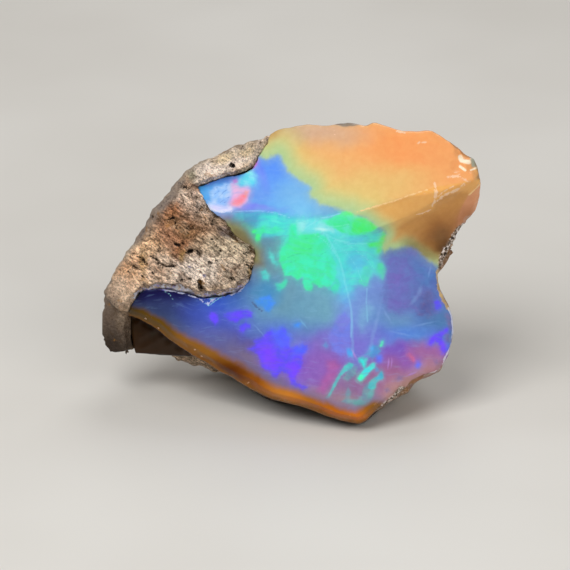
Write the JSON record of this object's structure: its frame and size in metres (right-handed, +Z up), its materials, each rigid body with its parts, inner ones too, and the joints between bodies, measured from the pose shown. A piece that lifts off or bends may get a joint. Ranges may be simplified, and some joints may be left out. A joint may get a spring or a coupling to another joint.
{
  "type": "rough opal specimen",
  "caption": "Rough Ethiopian opal: a glossy broken chunk with play of colour and an amber edge, on a crust of pale volcanic tuff, resting on its underside.",
  "frame": {"origin": "on the ground, below the middle of the stone's box", "axes": "+Z up; +X along the stone's width, to the right of someone who looks at its broken face; the face looks towards -Y and leans back, so that it looks 22 degrees above the horizon"},
  "size_m": [0.0298, 0.0178, 0.0215],
  "materials": {
    "precious_opal": "gloss",
    "tuff": "matte"
  },
  "bodies": {
    "root": {"opal": "precious_opal", "host_rock": "tuff"}
  },
  "joints": []
}
